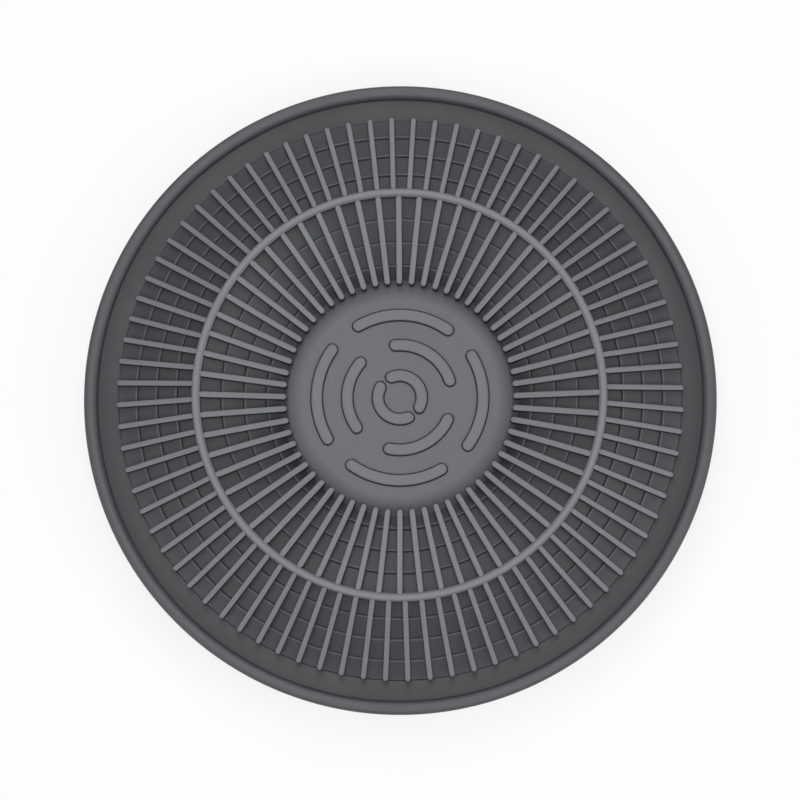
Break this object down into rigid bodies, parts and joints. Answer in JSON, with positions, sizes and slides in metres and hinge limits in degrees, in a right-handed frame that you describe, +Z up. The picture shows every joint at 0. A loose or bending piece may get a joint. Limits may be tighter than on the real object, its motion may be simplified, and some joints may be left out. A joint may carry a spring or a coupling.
{
  "type": "lick mat",
  "caption": "Round lick mat: a shallow bowl with a beaded rim holds a lift-out soft insert whose ribs climb to a raised ring round a centre disc; suction cups grip the floor.",
  "frame": {"origin": "centre of the mat on the surface that it stands on", "axes": "+Z up along the bowl's axis, +Y towards the top of the picture"},
  "size_m": [0.254, 0.254, 0.0317],
  "materials": {
    "bowl": "matte moulded",
    "insert": "matte silicone",
    "cup": "satin silicone"
  },
  "bodies": {
    "bowl": {"outer_bowl": "bowl", "suction_cup_1": "cup", "suction_cup_2": "cup", "suction_cup_3": "cup", "suction_cup_4": "cup", "suction_cup_5": "cup", "suction_cup_6": "cup"},
    "insert": {"lick_insert": "insert"}
  },
  "joints": [
    {"name": "insert_lift", "type": "slide", "parent": "bowl", "child": "insert", "axis": [0, 0, 1], "range_m": [0, 0.06]}
  ]
}
